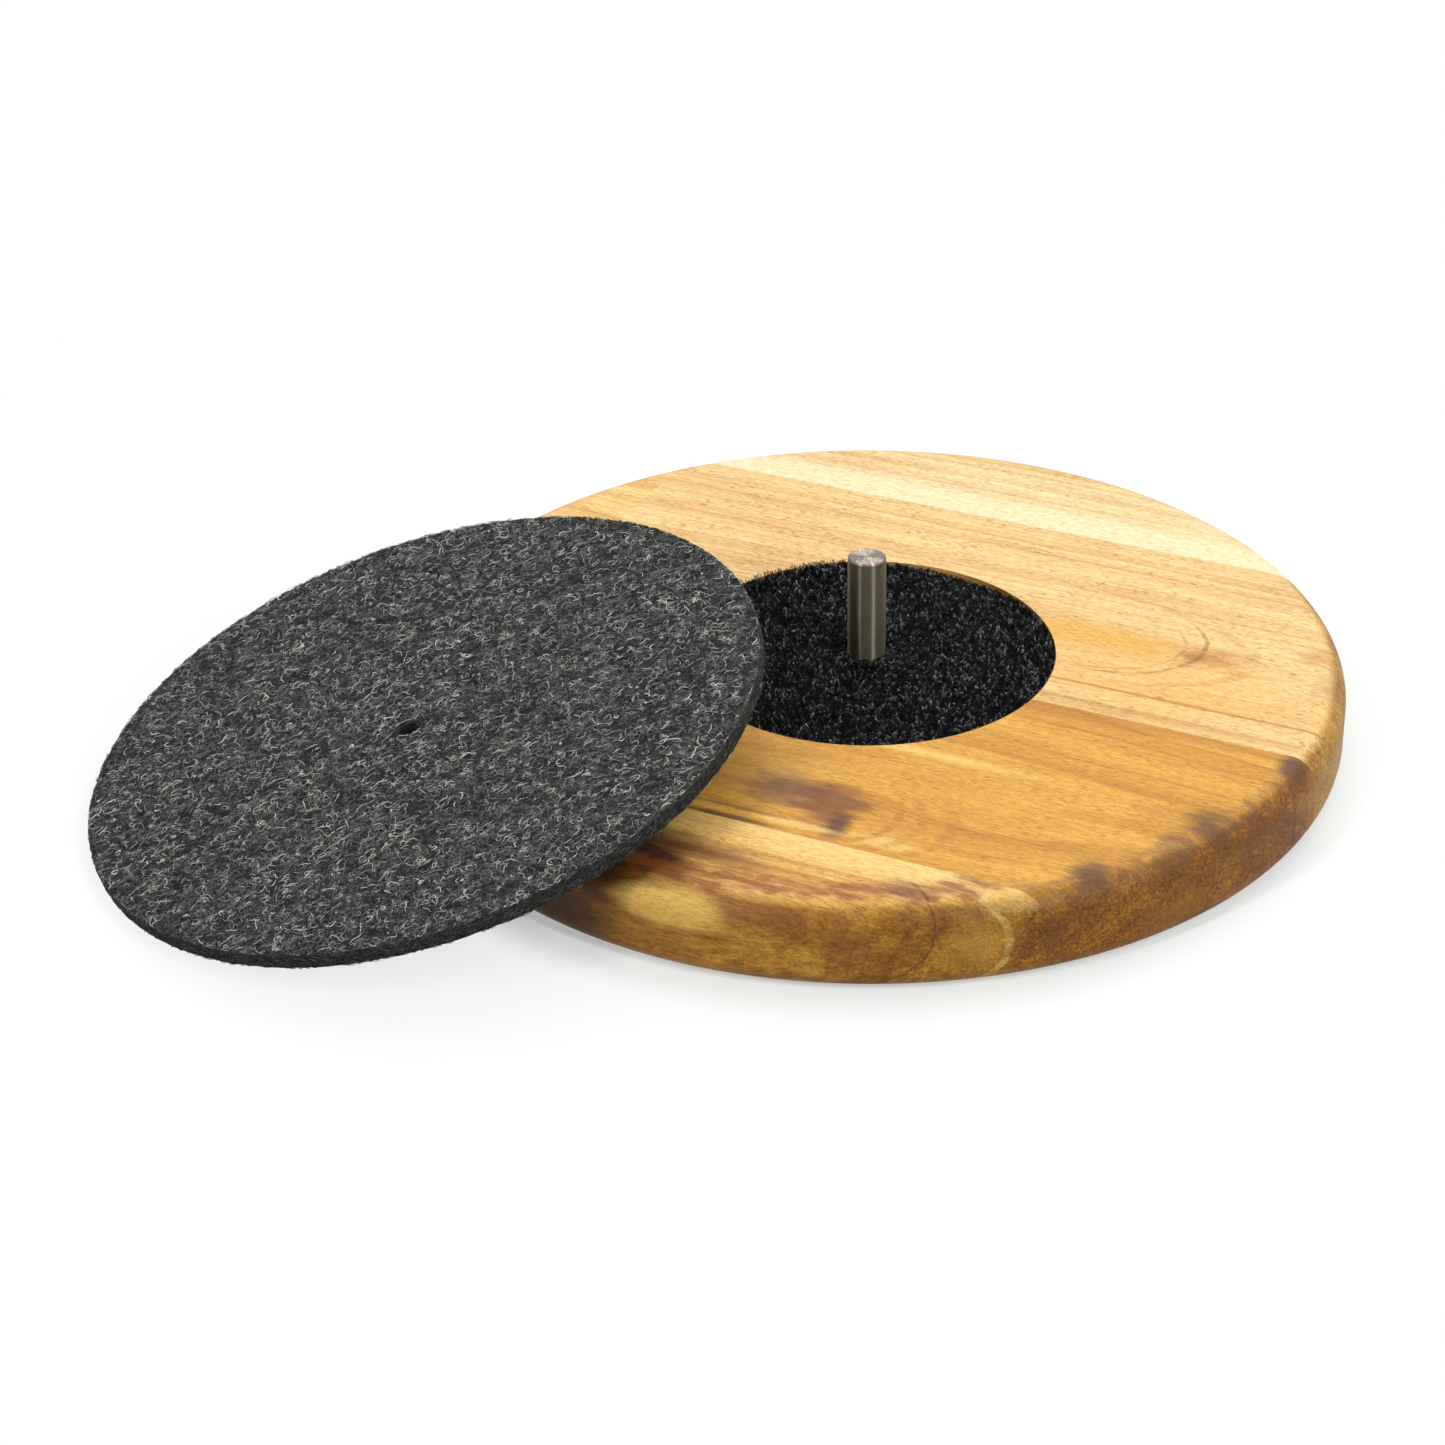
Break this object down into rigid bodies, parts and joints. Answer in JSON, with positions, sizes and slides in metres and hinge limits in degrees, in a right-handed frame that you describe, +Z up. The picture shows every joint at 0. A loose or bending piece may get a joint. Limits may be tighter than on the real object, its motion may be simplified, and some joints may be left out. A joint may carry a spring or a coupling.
{
  "type": "felt polishing wheel",
  "caption": "Round edge-glued wooden wheel with an upright steel spindle, a loop pad let into its face and a loose wool felt disc leaning on its rim.",
  "frame": {"origin": "centre of the wheel's underside, on the spindle's axis", "axes": "+Z up along the spindle; -Y is the side that faces the viewer, +X is to the viewer's right; the felt disc leans on the rim at the -X side"},
  "size_m": [0.2603, 0.2023, 0.0405],
  "materials": {
    "back_stave_wood": "oiled pale heartwood with a cream sapwood band",
    "second_stave_wood": "oiled honey-coloured wood with a flame figure",
    "end_piece_wood": "oiled honey-coloured wood",
    "knot_stave_wood": "oiled brown wood with a dark knot",
    "front_stave_wood": "oiled reddish brown wood with dark end grain",
    "spindle_steel": "drawn steel, satin",
    "adhesive_film": "clear self-adhesive backing",
    "loop_pile": "black loop pile",
    "wool_felt": "pressed charcoal melange wool felt"
  },
  "bodies": {
    "wheel": {"back_stave": "back_stave_wood", "second_stave": "second_stave_wood", "second_stave_end": "end_piece_wood", "knot_stave": "knot_stave_wood", "front_stave": "front_stave_wood", "spindle": "spindle_steel", "pad_adhesive": "adhesive_film", "loop_pad": "loop_pile"},
    "felt": {"felt_disc": "wool_felt"}
  },
  "joints": [
    {"name": "felt_lift", "type": "slide", "parent": "wheel", "child": "felt", "axis": [0, 0, 1], "range_m": [0, 0.05]}
  ]
}
